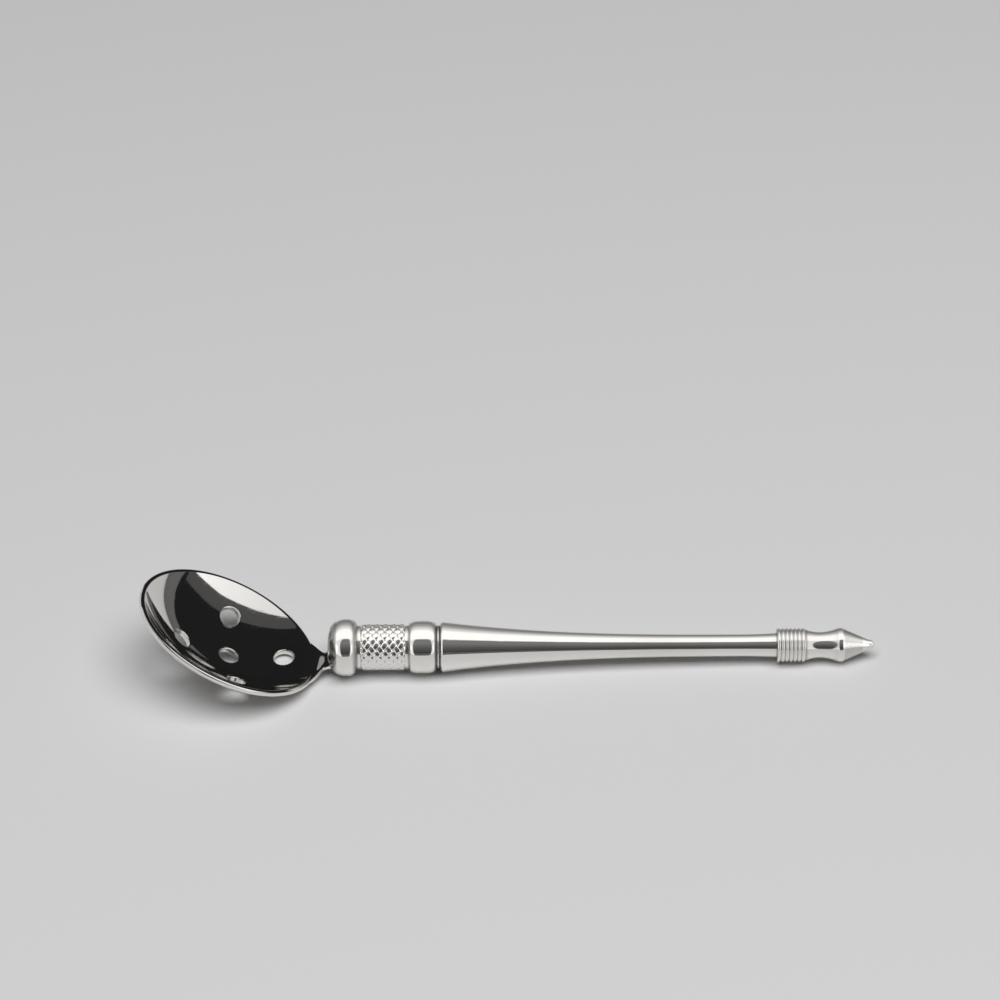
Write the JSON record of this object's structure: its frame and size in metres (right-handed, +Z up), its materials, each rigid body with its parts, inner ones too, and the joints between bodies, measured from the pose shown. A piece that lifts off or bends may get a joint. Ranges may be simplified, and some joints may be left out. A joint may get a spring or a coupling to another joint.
{
  "type": "olive spoon",
  "caption": "Polished metal olive spoon: an oval bowl with drain holes on a slim turned handle with a plaited collar, ring mouldings and a pointed finial.",
  "frame": {"origin": "on the table, under the middle of the spoon's bounding box as it lies at rest", "axes": "+X along the spoon from the bowl's tip to the finial, +Y across the bowl, +Z up from the table into the bowl's hollow"},
  "size_m": [0.1984, 0.0464, 0.0273],
  "materials": {
    "polished_metal": "mirror polished silver-white metal"
  },
  "bodies": {
    "root": {"spoon": "polished_metal"}
  },
  "joints": []
}
